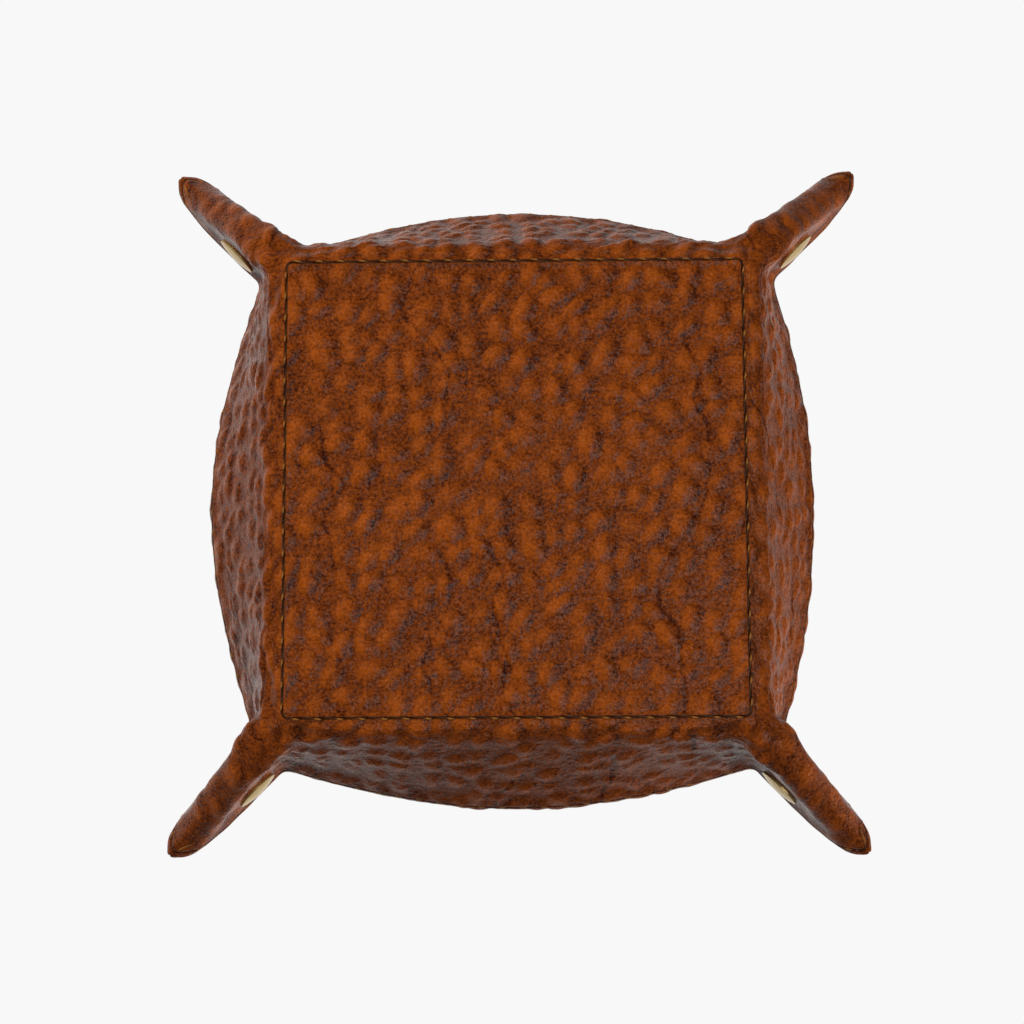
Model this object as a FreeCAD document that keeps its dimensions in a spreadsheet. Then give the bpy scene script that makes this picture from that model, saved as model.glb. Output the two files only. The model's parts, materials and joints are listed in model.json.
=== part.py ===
import FreeCAD, Part
import Sketcher
import math
import os
from collections import namedtuple

# Valet tray: a square of lined leather whose four corners are pinched into ears by press studs.
# The origin is the middle of the underside, +Z is up and the open side faces up.

doc = FreeCAD.newDocument("ValetTray")
sheet = doc.addObject("Spreadsheet::Sheet", "Sizes")

DRIVING_SIZES = {
    # leather, lining, glue and board
    "leather_thickness": 1.8,
    "lining_thickness": 1.0,
    "glue_film": 0.05,
    "board_thickness": 1.5,
    # base field, measured to its fold lines
    "base_half": 59.0,
    "base_corner_radius": 3.0,
    "fold_clearance": 0.3,
    # seams
    "seam_inset": 4.0,
    "seam_corner_radius": 1.5,
    "board_margin": 1.5,
    "rim_seam_inset": 2.0,
    "thread_width": 0.8,
    "thread_thickness": 0.4,
    "thread_clearance": 0.1,
    # walls: the rim is highest at its ends, and sags by so much in the middle
    "rim_end_height": 37.0,
    "rim_sag": 2.5,
    # ears: the ridge climbs outward from its foot, and its leaves face each other across the gap
    "ear_gap": 3.5,
    "ear_slit": 0.3,
    "ear_foot_inset": 2.0,
    "ear_start": 9.0,
    "ear_lining_start": 13.0,
    "ear_rise": 1.0,
    "ear_tip_radius": 6.0,
    # press studs
    "snap_seam_clearance": 0.7,
    "cap_radius": 5.5,
    "cap_height": 1.3,
    "cap_lip": 0.5,
    "barrel_radius": 1.6,
    "hole_clearance": 0.15,
    "flare_radius": 2.1,
    "flare_thickness": 0.3,
    "socket_radius": 4.8,
    "socket_floor": 0.45,
    "stud_radius": 2.0,
    "stud_wall": 0.35,
    "stud_clearance": 0.45,
    "stud_end_clearance": 0.2,
    "stud_flange_radius": 4.4,
    "stud_flange_thickness": 0.6,
    "snap_face_clearance": 0.5,
    "post_clearance": 0.05,
    "post_head_radius": 4.2,
    "post_head_height": 0.6,
    # one overrun serves every cut
    "overrun": 5.0,
}

# shares of a unit circle or of a dome's own width and height
DIAGONAL_SHARE = math.sqrt(0.5)
TIP_MID_SHARES = (math.cos(math.pi / 8), math.sin(math.pi / 8))
DOME_SHARES = (0.5, 0.77)
# outward reach of a wall over its rise, at its ends and in its middle
WALL_END_LEAN_SHARE = 0.17
WALL_MID_LEAN_SHARE = 0.4565
ROOT_TWO = math.sqrt(2)

WALLS = ("east", "north", "west", "south")
CORNERS = ("northeast", "northwest", "southwest", "southeast")
# side of each corner's diagonal plane that carries the cap: +1 is clockwise of it, seen from above
CAP_SIDES = (-1, 1, 1, -1)


class Size:
    """A length with the sheet expression that drives it."""

    def __init__(self, value, text):
        self.value = value
        self.text = text

    def __add__(self, other):
        return Size(self.value + other.value, f"({self.text} + {other.text})")

    def __sub__(self, other):
        return Size(self.value - other.value, f"({self.text} - {other.text})")

    def __neg__(self):
        return Size(-self.value, f"(0 - {self.text})")

    def __mul__(self, share):
        return Size(self.value * share, f"({self.text} * ({share!r}))")

    def over(self, other):
        return Size(self.value / other.value, f"({self.text} / {other.text})")

    def times(self, other):
        return Size(self.value * other.value, f"({self.text} * {other.text})")

    def root(self):
        return Size(math.sqrt(self.value), f"sqrt({self.text})")

    def arc_tangent(self):
        return Size(math.degrees(math.atan(self.value)), f"atan({self.text})")


Corner = namedtuple("Corner", "x y")
Via = namedtuple("Via", "x y")
ZERO = Size(0, "0")
UNITY = Size(1, "1")


def fill_sheet():
    sizes = {}
    for row, (name, value) in enumerate(DRIVING_SIZES.items(), start=1):
        sheet.set(f"A{row}", name)
        sheet.set(f"B{row}", str(value))
        sheet.setAlias(f"B{row}", name)
        sizes[name] = Size(value, f"Sizes.{name}")
    doc.recompute()
    return sizes


size = fill_sheet()

# layers of the lined leather, counted out from the middle of its thickness
LAYERS = size["leather_thickness"] + size["glue_film"] + size["lining_thickness"]
HALF_LAYERS = LAYERS * 0.5
LINING_FACE = size["lining_thickness"] - HALF_LAYERS
LEATHER_BACK = LINING_FACE + size["glue_film"]
FOLD_HEIGHT = HALF_LAYERS
KNUCKLE_MARGIN = HALF_LAYERS + size["fold_clearance"]

# base field
PLATE_HALF = size["base_half"] - KNUCKLE_MARGIN
SEAM_HALF = size["base_half"] - size["seam_inset"]
BOARD_TOP = size["leather_thickness"] + size["board_thickness"]
LINING_TOP = BOARD_TOP + size["lining_thickness"]
GROOVE_DEPTH = size["thread_thickness"] + size["thread_clearance"]

# ear creases lie in planes at LEAF_OFFSET on either side of the corner's diagonal plane
LEAF_OFFSET = size["ear_gap"] * 0.5 + HALF_LAYERS
LEAF_FACE = size["ear_gap"] * 0.5
FOLD_RADIUS = LEAF_FACE + LAYERS
CREASE_SETBACK = LEAF_OFFSET * ROOT_TWO
CREASE_RISE = size["rim_end_height"] - FOLD_HEIGHT
RIM_END_REACH = CREASE_RISE * WALL_END_LEAN_SHARE
CREASE_SLOPE = (RIM_END_REACH * ROOT_TWO).over(CREASE_RISE)
CREASE_STRETCH = (UNITY + CREASE_SLOPE.times(CREASE_SLOPE)).root()
CREASE_FOOT = size["base_half"] * ROOT_TWO - LEAF_OFFSET
RIDGE_FOOT = size["base_half"] * ROOT_TWO - size["ear_foot_inset"]
EAR_HEIGHT = size["rim_end_height"] + size["ear_rise"]
RIDGE_END = EAR_HEIGHT * ROOT_TWO - size["ear_tip_radius"] * (ROOT_TWO - 1)

# walls
WALL_HALF_LOW = size["base_half"] - CREASE_SETBACK - KNUCKLE_MARGIN
WALL_HALF_HIGH = WALL_HALF_LOW + RIM_END_REACH
RIM_END_X = size["base_half"] + RIM_END_REACH
RIM_MID_X = size["base_half"] + CREASE_RISE * WALL_MID_LEAN_SHARE
RIM_MID_HEIGHT = size["rim_end_height"] - size["rim_sag"]

# press studs, seated on the facing linings, below the rim seam and midway between crease and ridge
RIM_SEAM_EDGE = size["rim_seam_inset"] + size["thread_width"]
SNAP_RIM_INSET = RIM_SEAM_EDGE + size["snap_seam_clearance"] + size["cap_radius"]
SNAP_HEIGHT = EAR_HEIGHT - SNAP_RIM_INSET
SNAP_INNER_LIMIT = CREASE_FOOT + CREASE_SLOPE.times(SNAP_HEIGHT - FOLD_HEIGHT)
SNAP_OUTER_LIMIT = RIDGE_FOOT + SNAP_HEIGHT - FOLD_RADIUS * ROOT_TWO
SNAP_S = (SNAP_INNER_LIMIT + SNAP_OUTER_LIMIT) * 0.5
SOCKET_HEIGHT = size["ear_gap"] - size["stud_flange_thickness"] - size["snap_face_clearance"]
SOCKET_BORE = size["stud_radius"] + size["stud_clearance"]
FLARE_END = size["socket_floor"] + size["flare_thickness"]
STUD_LENGTH = size["ear_gap"] - FLARE_END - size["stud_end_clearance"]
STUD_HOLLOW = size["stud_radius"] - size["stud_wall"]
STUD_DEPTH = STUD_LENGTH - size["stud_wall"]
POST_RADIUS = STUD_HOLLOW - size["post_clearance"]
CAP_HOLE = size["barrel_radius"] + size["hole_clearance"]
POST_HOLE = POST_RADIUS + size["hole_clearance"]


def new_body(label, placement=None):
    body = doc.addObject("PartDesign::Body", label)
    body.Label = label
    if placement is not None:
        body.Placement = placement
    return body


def sketch_on(body, role, name, height=None):
    sketch = body.newObject("Sketcher::SketchObject", name)
    plane = next(item for item in body.Origin.OriginFeatures if item.Role == role)
    sketch.AttachmentSupport = [(plane, "")]
    sketch.MapMode = "FlatFace"
    if height is not None:
        sketch.setExpression("AttachmentOffset.Base.z", height.text)
    return sketch


def tilted_sketch(body, name, angle, along, up):
    """Sketch square to a line that climbs at an angle in the body's XY plane, from (along, up)."""
    sketch = sketch_on(body, "YZ_Plane", name, along)
    turn = FreeCAD.Rotation(FreeCAD.Vector(0, 1, 0), angle.value)
    sketch.AttachmentOffset = FreeCAD.Placement(FreeCAD.Vector(up.value, 0, along.value), turn)
    sketch.setExpression("AttachmentOffset.Base.x", up.text)
    sketch.setExpression("AttachmentOffset.Rotation.Angle", angle.text)
    return sketch


def pin(sketch, geometry, place, point):
    for kind, length in (("DistanceX", point.x), ("DistanceY", point.y)):
        rule = Sketcher.Constraint(kind, -1, 1, geometry, place, length.value)
        index = sketch.addConstraint(rule)
        sketch.setExpression(f"Constraints[{index}]", length.text)


def draw(sketch, path):
    """Close a path of corners. A via point bends the span that it stands in into an arc."""
    corners = [index for index, point in enumerate(path) if isinstance(point, Corner)]
    spans = []
    for order, index in enumerate(corners):
        following = path[corners[(order + 1) % len(corners)]]
        start = vector(path[index])
        end = vector(following)
        middle = path[(index + 1) % len(path)]
        if isinstance(middle, Via):
            geometry = sketch.addGeometry(Part.Arc(start, vector(middle), end), False)
            mark = sketch.addGeometry(Part.Point(vector(middle)), True)
            pin(sketch, mark, 1, middle)
            sketch.addConstraint(Sketcher.Constraint("PointOnObject", mark, 1, geometry))
        else:
            geometry = sketch.addGeometry(Part.LineSegment(start, end), False)
        first = sketch.getPoint(geometry, 1)
        forward = first.distanceToPoint(start) <= first.distanceToPoint(end)
        ends = (1, 2) if forward else (2, 1)
        spans.append((geometry, *ends))
        pin(sketch, geometry, ends[0], path[index])
    for (geometry, _, tail), (neighbour, head, _) in zip(spans, spans[1:] + spans[:1]):
        sketch.addConstraint(Sketcher.Constraint("Coincident", geometry, tail, neighbour, head))


def vector(point):
    return FreeCAD.Vector(point.x.value, point.y.value, 0)


def draw_circle(sketch, centre, radius):
    circle = Part.Circle(vector(centre), FreeCAD.Vector(0, 0, 1), radius.value)
    geometry = sketch.addGeometry(circle, False)
    pin(sketch, geometry, 3, centre)
    index = sketch.addConstraint(Sketcher.Constraint("Radius", geometry, radius.value))
    sketch.setExpression(f"Constraints[{index}]", radius.text)


def pad(body, sketch, name, length, reverse=False, symmetric=False):
    feature = body.newObject("PartDesign::Pad", name)
    feature.Profile = sketch
    feature.setExpression("Length", length.text)
    feature.Reversed = reverse
    if symmetric:
        feature.SideType = "Symmetric"
    doc.recompute()


def cut(body, sketch, name, depth=None, reverse=False):
    """Pocket of a stated depth, or right through the piece on both sides of the sketch."""
    before = body.Shape.Volume
    feature = body.newObject("PartDesign::Pocket", name)
    feature.Profile = sketch
    if depth is None:
        feature.Type = "ThroughAll"
        feature.SideType = "Symmetric"
    else:
        feature.setExpression("Length", depth.text)
        feature.Reversed = reverse
    doc.recompute()
    if body.Shape.Volume >= before:
        raise RuntimeError(f"{body.Label}: {name} removes nothing")


def revolve(body, path):
    sketch = sketch_on(body, "XZ_Plane", "profile")
    draw(sketch, path)
    feature = body.newObject("PartDesign::Revolution", "turned")
    feature.Profile = sketch
    feature.ReferenceAxis = (sketch, ["V_Axis"])
    feature.Angle = 360
    doc.recompute()


def rectangle(left, right, low, high):
    return [Corner(left, low), Corner(right, low), Corner(right, high), Corner(left, high)]


def round_square(half, radius):
    flat = half - radius
    bend = flat + radius * DIAGONAL_SHARE
    return [
        Corner(half, -flat),
        Corner(half, flat), Via(bend, bend),
        Corner(flat, half),
        Corner(-flat, half), Via(-bend, bend),
        Corner(-half, flat),
        Corner(-half, -flat), Via(-bend, -bend),
        Corner(-flat, -half),
        Corner(flat, -half), Via(bend, -bend),
    ]


# base field

def seam_ring(sketch, width):
    outer = SEAM_HALF + width * 0.5
    inner = SEAM_HALF - width * 0.5
    draw(sketch, round_square(outer, size["seam_corner_radius"] + width * 0.5))
    draw(sketch, round_square(inner, size["seam_corner_radius"] - width * 0.5))


def tabbed_square():
    """Base outline that steps in beside the wall folds and runs out to the folds' face at its corners."""
    reach = size["base_half"] + HALF_LAYERS
    flat = reach - size["base_corner_radius"]
    bend = flat + size["base_corner_radius"] * DIAGONAL_SHARE
    step = WALL_HALF_LOW + size["fold_clearance"]
    quarter = [
        Corner(PLATE_HALF, step),
        Corner(reach, step),
        Corner(reach, flat), Via(bend, bend),
        Corner(flat, reach),
        Corner(step, reach),
        Corner(step, PLATE_HALF),
    ]
    path = []
    for _ in range(4):
        path += quarter
        quarter = [type(point)(-point.y, point.x) for point in quarter]
    return path


def base_plate(label, outline_path, low, thickness):
    body = new_body(label)
    outline = sketch_on(body, "XY_Plane", "outline", low)
    draw(outline, outline_path)
    pad(body, outline, "plate", thickness)
    return body


def base_field():
    groove_width = size["thread_width"] + size["thread_clearance"] * 2
    leather = base_plate("base_leather", tabbed_square(), ZERO, size["leather_thickness"])
    groove = sketch_on(leather, "XY_Plane", "seam_groove")
    seam_ring(groove, groove_width)
    cut(leather, groove, "seam_channel", GROOVE_DEPTH, reverse=True)

    corner = size["base_corner_radius"]
    board_outline = round_square(SEAM_HALF - size["board_margin"], corner)
    base_plate("base_board", board_outline, size["leather_thickness"], size["board_thickness"])

    lining_outline = round_square(PLATE_HALF, corner)
    lining = base_plate("base_lining", lining_outline, BOARD_TOP, size["lining_thickness"])
    groove = sketch_on(lining, "XY_Plane", "seam_groove", LINING_TOP)
    seam_ring(groove, groove_width)
    cut(lining, groove, "seam_channel", GROOVE_DEPTH)

    low_thread = GROOVE_DEPTH - size["thread_thickness"]
    high_thread = LINING_TOP - GROOVE_DEPTH
    for label, low in (("base_seam_thread", low_thread), ("base_seam_bobbin_thread", high_thread)):
        body = new_body(label)
        ring = sketch_on(body, "XY_Plane", "ring", low)
        seam_ring(ring, size["thread_width"])
        pad(body, ring, "thread", size["thread_thickness"])


# walls, drawn as the east one and turned about Z

def wall_strip(label, turn, inner, outer):
    """Ruled sheet from the straight fold line to the bowed rim."""
    body = new_body(label, turn)
    low = sketch_on(body, "XY_Plane", "fold_section", FOLD_HEIGHT)
    fold_inner = size["base_half"] + inner
    fold_outer = size["base_half"] + outer
    draw(low, rectangle(fold_inner, fold_outer, -WALL_HALF_LOW, WALL_HALF_LOW))
    high = sketch_on(body, "XY_Plane", "rim_section", size["rim_end_height"])
    draw(high, [
        Corner(RIM_END_X + inner, -WALL_HALF_HIGH),
        Corner(RIM_END_X + outer, -WALL_HALF_HIGH), Via(RIM_MID_X + outer, ZERO),
        Corner(RIM_END_X + outer, WALL_HALF_HIGH),
        Corner(RIM_END_X + inner, WALL_HALF_HIGH), Via(RIM_MID_X + inner, ZERO),
    ])
    loft = body.newObject("PartDesign::AdditiveLoft", "sheet")
    loft.Profile = low
    loft.Sections = [high]
    loft.Ruled = True
    doc.recompute()
    return body


def rim_cut(body, name, inset, above):
    """Trim a wall sheet along the sagging rim line, lowered by the inset."""
    half = WALL_HALF_HIGH + size["overrun"]
    end = size["rim_end_height"] - inset
    far = end + size["overrun"] if above else ZERO - size["overrun"]
    sketch = sketch_on(body, "YZ_Plane", name)
    draw(sketch, [
        Corner(-half, far),
        Corner(-half, end), Via(ZERO, RIM_MID_HEIGHT - inset),
        Corner(half, end),
        Corner(half, far),
    ])
    cut(body, sketch, name + "_trim")


def wall_turn(order):
    heading = FreeCAD.Rotation(FreeCAD.Vector(0, 0, 1), 90 * order)
    return FreeCAD.Placement(FreeCAD.Vector(0, 0, 0), heading)


def wall(name, turn):
    leather = wall_strip(f"{name}_wall_leather", turn, LEATHER_BACK, HALF_LAYERS)
    rim_cut(leather, "rim", ZERO, above=True)
    edge = sketch_on(leather, "XZ_Plane", "fold_edge")
    draw(edge, [
        Corner(size["base_half"] - HALF_LAYERS, FOLD_HEIGHT), Via(size["base_half"], ZERO),
        Corner(size["base_half"] + HALF_LAYERS, FOLD_HEIGHT),
    ])
    pad(leather, edge, "rounded_fold", WALL_HALF_LOW * 2, symmetric=True)

    lining = wall_strip(f"{name}_wall_lining", turn, -HALF_LAYERS, LINING_FACE)
    rim_cut(lining, "rim", ZERO, above=True)
    clear = sketch_on(lining, "YZ_Plane", "fold_clearance")
    half = WALL_HALF_HIGH + size["overrun"]
    seat = FOLD_HEIGHT + size["fold_clearance"]
    draw(clear, rectangle(-half, half, -size["overrun"], seat))
    cut(lining, clear, "fold_trim")

    thread_face = HALF_LAYERS + size["thread_clearance"]
    outer = thread_face + size["thread_thickness"]
    thread = wall_strip(f"{name}_rim_thread", turn, thread_face, outer)
    rim_cut(thread, "upper", size["rim_seam_inset"], above=True)
    rim_cut(thread, "lower", size["rim_seam_inset"] + size["thread_width"], above=False)


# ears: each leaf is drawn in its corner's diagonal plane, X outward, Y up and Z across the plane

def corner_turn(corner):
    upright = FreeCAD.Rotation(FreeCAD.Vector(1, 0, 0), 90)
    heading = FreeCAD.Rotation(FreeCAD.Vector(0, 0, 1), 45 + 90 * corner)
    return FreeCAD.Placement(FreeCAD.Vector(0, 0, 0), heading.multiply(upright))


def ridge_point(along, inside, kind=Corner):
    """Point at a distance along the ridge and another inside it, square to the ridge."""
    return kind(RIDGE_FOOT + (along - inside) * DIAGONAL_SHARE, (along + inside) * DIAGONAL_SHARE)


def crease_point(height, margin=ZERO):
    """Point of the crease axis at a height, moved outward by a margin square to the crease."""
    rise = height - FOLD_HEIGHT
    along = CREASE_FOOT + CREASE_SLOPE.times(rise) + CREASE_STRETCH.times(margin)
    return Corner(along, height)


def ear_sheet(label, corner, side, near, far, start, margin):
    """Flat leaf with its half of the rounded ridge, between two distances from the diagonal plane."""
    body = new_body(label, corner_turn(corner))
    face = sketch_on(body, "XY_Plane", "leaf_outline", near * side)
    foot = ridge_point(start, FOLD_RADIUS)
    rim_end = Corner(RIDGE_FOOT + EAR_HEIGHT - FOLD_RADIUS * ROOT_TWO, EAR_HEIGHT)
    draw(face, [
        foot,
        rim_end,
        crease_point(EAR_HEIGHT, margin),
        crease_point(foot.y, margin),
    ])
    pad(body, face, "leaf", far - near, reverse=side < 0)

    diagonal = Size(45, "45")
    ridge_foot = ridge_point(start, ZERO)
    bend = tilted_sketch(body, "ridge_section", diagonal, ridge_foot.x, ridge_foot.y)
    half_slit = size["ear_slit"] * 0.5
    outer = far - half_slit
    inner = near - half_slit
    outer_mid = Via(FOLD_RADIUS - outer * DIAGONAL_SHARE, (half_slit + outer * DIAGONAL_SHARE) * side)
    inner_mid = Via(FOLD_RADIUS - inner * DIAGONAL_SHARE, (half_slit + inner * DIAGONAL_SHARE) * side)
    draw(bend, [
        Corner(FOLD_RADIUS, near * side),
        Corner(FOLD_RADIUS, far * side), outer_mid,
        Corner(FOLD_RADIUS - outer, half_slit * side),
        Corner(FOLD_RADIUS - inner, half_slit * side), inner_mid,
    ])
    pad(body, bend, "ridge", RIDGE_END - start)

    tip = sketch_on(body, "XY_Plane", "tip_outline")
    radius = size["ear_tip_radius"]
    centre = RIDGE_END - radius
    rim_start = FOLD_RADIUS + radius * DIAGONAL_SHARE
    rim_along = EAR_HEIGHT * ROOT_TWO - rim_start
    draw(tip, [
        ridge_point(rim_along, rim_start),
        ridge_point(centre + radius * DIAGONAL_SHARE, radius * DIAGONAL_SHARE),
        ridge_point(centre + radius * TIP_MID_SHARES[0], radius * TIP_MID_SHARES[1], Via),
        ridge_point(RIDGE_END, ZERO),
        ridge_point(RIDGE_END, -size["overrun"]),
        ridge_point(RIDGE_END + size["overrun"], -size["overrun"]),
        ridge_point(RIDGE_END + size["overrun"], rim_start + size["overrun"]),
    ])
    cut(body, tip, "rounded_tip")

    hole = sketch_on(body, "XY_Plane", "snap_hole")
    bore = CAP_HOLE if side == CAP_SIDES[corner] else POST_HOLE
    draw_circle(hole, Corner(SNAP_S, SNAP_HEIGHT), bore)
    cut(body, hole, "snap_bore")
    return body


def ear_leaf(name, corner, side):
    back = LEAF_FACE + size["lining_thickness"] + size["glue_film"]
    leather = ear_sheet(f"{name}_leather", corner, side, back, FOLD_RADIUS, size["ear_start"], ZERO)
    foot = crease_point(ridge_point(size["ear_start"], FOLD_RADIUS).y)
    lean = UNITY.over(CREASE_SLOPE).arc_tangent()
    crease = tilted_sketch(leather, "crease_section", lean, foot.x, foot.y)
    draw(crease, [
        Corner(ZERO, LEAF_FACE * side), Via(HALF_LAYERS, LEAF_OFFSET * side),
        Corner(ZERO, FOLD_RADIUS * side),
    ])
    pad(leather, crease, "rounded_crease", (EAR_HEIGHT - foot.y).times(CREASE_STRETCH))

    lining_back = LEAF_FACE + size["lining_thickness"]
    start = size["ear_lining_start"]
    ear_sheet(f"{name}_lining", corner, side, LEAF_FACE, lining_back, start, size["fold_clearance"])

    thread = new_body(f"{name}_thread", corner_turn(corner))
    run = sketch_on(thread, "XY_Plane", "run", (FOLD_RADIUS + size["thread_clearance"]) * side)
    high = EAR_HEIGHT - size["rim_seam_inset"]
    low = high - size["thread_width"]
    tip = RIDGE_FOOT - FOLD_RADIUS * ROOT_TWO
    draw(run, [
        crease_point(low, size["fold_clearance"]),
        Corner(tip + low, low),
        Corner(tip + high, high),
        crease_point(high, size["fold_clearance"]),
    ])
    pad(thread, run, "thread_run", size["thread_thickness"], reverse=side < 0)


# press studs, drawn about the Z axis from the lining face that they sit on, toward the facing leaf

def snap_body(label, corner, side):
    inward = FreeCAD.Rotation(FreeCAD.Vector(1, 0, 0), 180 if side > 0 else 0)
    across = LEAF_FACE * side
    seat = FreeCAD.Vector(SNAP_S.value, SNAP_HEIGHT.value, across.value)
    body = new_body(label, corner_turn(corner).multiply(FreeCAD.Placement(seat, inward)))
    heading = math.radians(45 + 90 * corner)
    along_x = SNAP_S * math.cos(heading) + across * math.sin(heading)
    along_y = SNAP_S * math.sin(heading) - across * math.cos(heading)
    body.setExpression("Placement.Base.x", along_x.text)
    body.setExpression("Placement.Base.y", along_y.text)
    body.setExpression("Placement.Base.z", SNAP_HEIGHT.text)
    return body


def snap(corner, name):
    cap_side = CAP_SIDES[corner]
    outer_face = -LAYERS
    lip = outer_face - size["cap_lip"]
    dome = size["cap_height"] - size["cap_lip"]
    shoulder = Via(size["cap_radius"] * DOME_SHARES[0], lip - dome * DOME_SHARES[1])
    revolve(snap_body(f"{name}_snap_cap", corner, cap_side), [
        Corner(ZERO, outer_face - size["cap_height"]), shoulder,
        Corner(size["cap_radius"], lip),
        Corner(size["cap_radius"], outer_face),
        Corner(size["barrel_radius"], outer_face),
        Corner(size["barrel_radius"], size["socket_floor"]),
        Corner(size["flare_radius"], size["socket_floor"]),
        Corner(size["flare_radius"], FLARE_END),
        Corner(ZERO, FLARE_END),
    ])
    revolve(snap_body(f"{name}_snap_socket", corner, cap_side), [
        Corner(CAP_HOLE, ZERO),
        Corner(size["socket_radius"], ZERO),
        Corner(size["socket_radius"], SOCKET_HEIGHT),
        Corner(SOCKET_BORE, SOCKET_HEIGHT),
        Corner(SOCKET_BORE, size["socket_floor"]),
        Corner(CAP_HOLE, size["socket_floor"]),
    ])
    revolve(snap_body(f"{name}_snap_stud", corner, -cap_side), [
        Corner(STUD_HOLLOW, ZERO),
        Corner(size["stud_flange_radius"], ZERO),
        Corner(size["stud_flange_radius"], size["stud_flange_thickness"]),
        Corner(size["stud_radius"], size["stud_flange_thickness"]),
        Corner(size["stud_radius"], STUD_LENGTH),
        Corner(ZERO, STUD_LENGTH),
        Corner(ZERO, STUD_DEPTH),
        Corner(STUD_HOLLOW, STUD_DEPTH),
    ])
    post_end = STUD_DEPTH - size["post_clearance"]
    revolve(snap_body(f"{name}_snap_post", corner, -cap_side), [
        Corner(ZERO, outer_face - size["post_head_height"]),
        Corner(size["post_head_radius"], outer_face - size["post_head_height"]),
        Corner(size["post_head_radius"], outer_face),
        Corner(POST_RADIUS, outer_face),
        Corner(POST_RADIUS, post_end),
        Corner(ZERO, post_end),
    ])


def check_and_write():
    for item in doc.Objects:
        if "Invalid" in item.State or "Error" in item.State:
            raise RuntimeError(f"{item.Label} failed: {item.State}")
    bodies = [item for item in doc.Objects if item.TypeId == "PartDesign::Body"]
    for body in bodies:
        if body.Shape.isNull() or not body.Shape.isValid():
            raise RuntimeError(f"{body.Label} has no valid shape")
    os.makedirs("parts", exist_ok=True)
    for body in bodies:
        body.Shape.exportStep(f"parts/{body.Label}.step")
        print(body.Label, len(body.Shape.Solids), round(body.Shape.Volume, 2))


base_field()
for index, wall_name in enumerate(WALLS):
    wall(wall_name, wall_turn(index))
for index, corner_name in enumerate(CORNERS):
    ear_leaf(f"{corner_name}_ear_{WALLS[index]}", index, 1)
    ear_leaf(f"{corner_name}_ear_{WALLS[(index + 1) % len(WALLS)]}", index, -1)
    snap(index, corner_name)
doc.recompute()
check_and_write()
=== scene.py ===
import json
import math

import bpy
import numpy as np
from mathutils import Matrix, Vector


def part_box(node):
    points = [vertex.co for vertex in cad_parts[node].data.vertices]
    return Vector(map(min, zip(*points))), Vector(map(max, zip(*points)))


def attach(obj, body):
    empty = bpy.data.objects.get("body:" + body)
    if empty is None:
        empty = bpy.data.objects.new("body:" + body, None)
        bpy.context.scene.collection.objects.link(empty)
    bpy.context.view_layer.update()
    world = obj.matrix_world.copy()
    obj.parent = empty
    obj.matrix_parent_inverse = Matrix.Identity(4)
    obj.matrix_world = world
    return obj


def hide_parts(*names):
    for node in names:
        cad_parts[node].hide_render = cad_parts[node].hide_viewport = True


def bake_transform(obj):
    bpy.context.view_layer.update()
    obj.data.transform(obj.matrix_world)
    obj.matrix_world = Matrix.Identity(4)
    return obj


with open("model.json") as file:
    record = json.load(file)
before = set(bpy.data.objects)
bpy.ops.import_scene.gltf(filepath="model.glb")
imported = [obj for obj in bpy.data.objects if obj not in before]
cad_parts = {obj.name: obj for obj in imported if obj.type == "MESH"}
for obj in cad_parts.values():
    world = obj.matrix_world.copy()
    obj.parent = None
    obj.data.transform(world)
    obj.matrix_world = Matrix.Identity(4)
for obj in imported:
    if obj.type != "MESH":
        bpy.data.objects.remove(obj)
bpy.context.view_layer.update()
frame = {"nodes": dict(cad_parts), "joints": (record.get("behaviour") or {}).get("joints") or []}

# Valet tray: one square of pebbled hide and one of lining, sewn together and pinched into four ears.
# Lengths are millimetres until a mesh is made. A flat place (u, v) is measured on the cut square.

MM = 0.001


def box_mm(node):
    low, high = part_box(node)
    return np.array(low) / MM, np.array(high) / MM


WALLS = ("east", "north", "west", "south")
CORNERS = ("northeast", "northwest", "southwest", "southeast")
joints = {joint["name"]: joint for joint in frame["joints"]}
fold = np.array(joints["east_wall_fold"]["pos_m"]) / MM

# layers, counted in from the hide's outer face
LAYERS = 2 * fold[2]
HIDE = box_mm("base_board")[0][2]
LINING_BASE = box_mm("base_lining")[1][2]
LINING = LINING_BASE - box_mm("base_board")[1][2]

# wall profile: the hide bends up round the base edge, then leans out straight to the rim
FOLD_BEND = 6.5
WALL_LEAN = math.radians(24.5)
RIM_MID_HEIGHT = 34.5
bend_length = FOLD_BEND * (math.pi / 2 - WALL_LEAN)
bend_reach = FOLD_BEND * math.cos(WALL_LEAN)
bend_rise = FOLD_BEND * (1 - math.sin(WALL_LEAN))
wall_slant = (RIM_MID_HEIGHT - bend_rise) / math.cos(WALL_LEAN)
FIELD = box_mm("east_wall_leather")[1][0] - bend_reach - wall_slant * math.sin(WALL_LEAN)
RIM = bend_length + wall_slant
CUT_HALF = FIELD + RIM

# corner: the wall bows in, turns out at a crease, and folds back on itself at the ear's ridge.
# Bends are pairs of ring and radius. Creases tighten upward. The ridge is fullest below the press stud.
RIM_BOW = math.radians(17)
BOW_START = 3.0
CREASE_BENDS = ((0.0, 9.0), (7.0, 8.0), (24.0, 2.6), (41.0, 2.6))
RIDGE_BENDS = ((0.0, 0.001), (4.0, 5.4), (12.0, 6.4), (16.0, 4.8), (33.0, 4.6), (41.0, 5.6))
EAR_ANGLE = math.pi / 4
TIP_RADIUS = 6.0
TIP_PINCH, PINCH_START, PINCH_LENGTH = 0.3, 106.0, 18.0
TIP_POINT, POINT_WIDTH = 1.6, 1.3
SETTLE = 3.5
WALL_BULGE, BULGE_HALF = (0.0, 1.2, 2.6, 1.2), 62.0
EAR_LIFT_NEAR, EAR_LIFT_FAR = 9.0, 46.0
LEAST_BOW, TURN_HALVINGS = 1e-4, 40
RING_STEPS, RUN_STEPS = 400, 200

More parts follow.
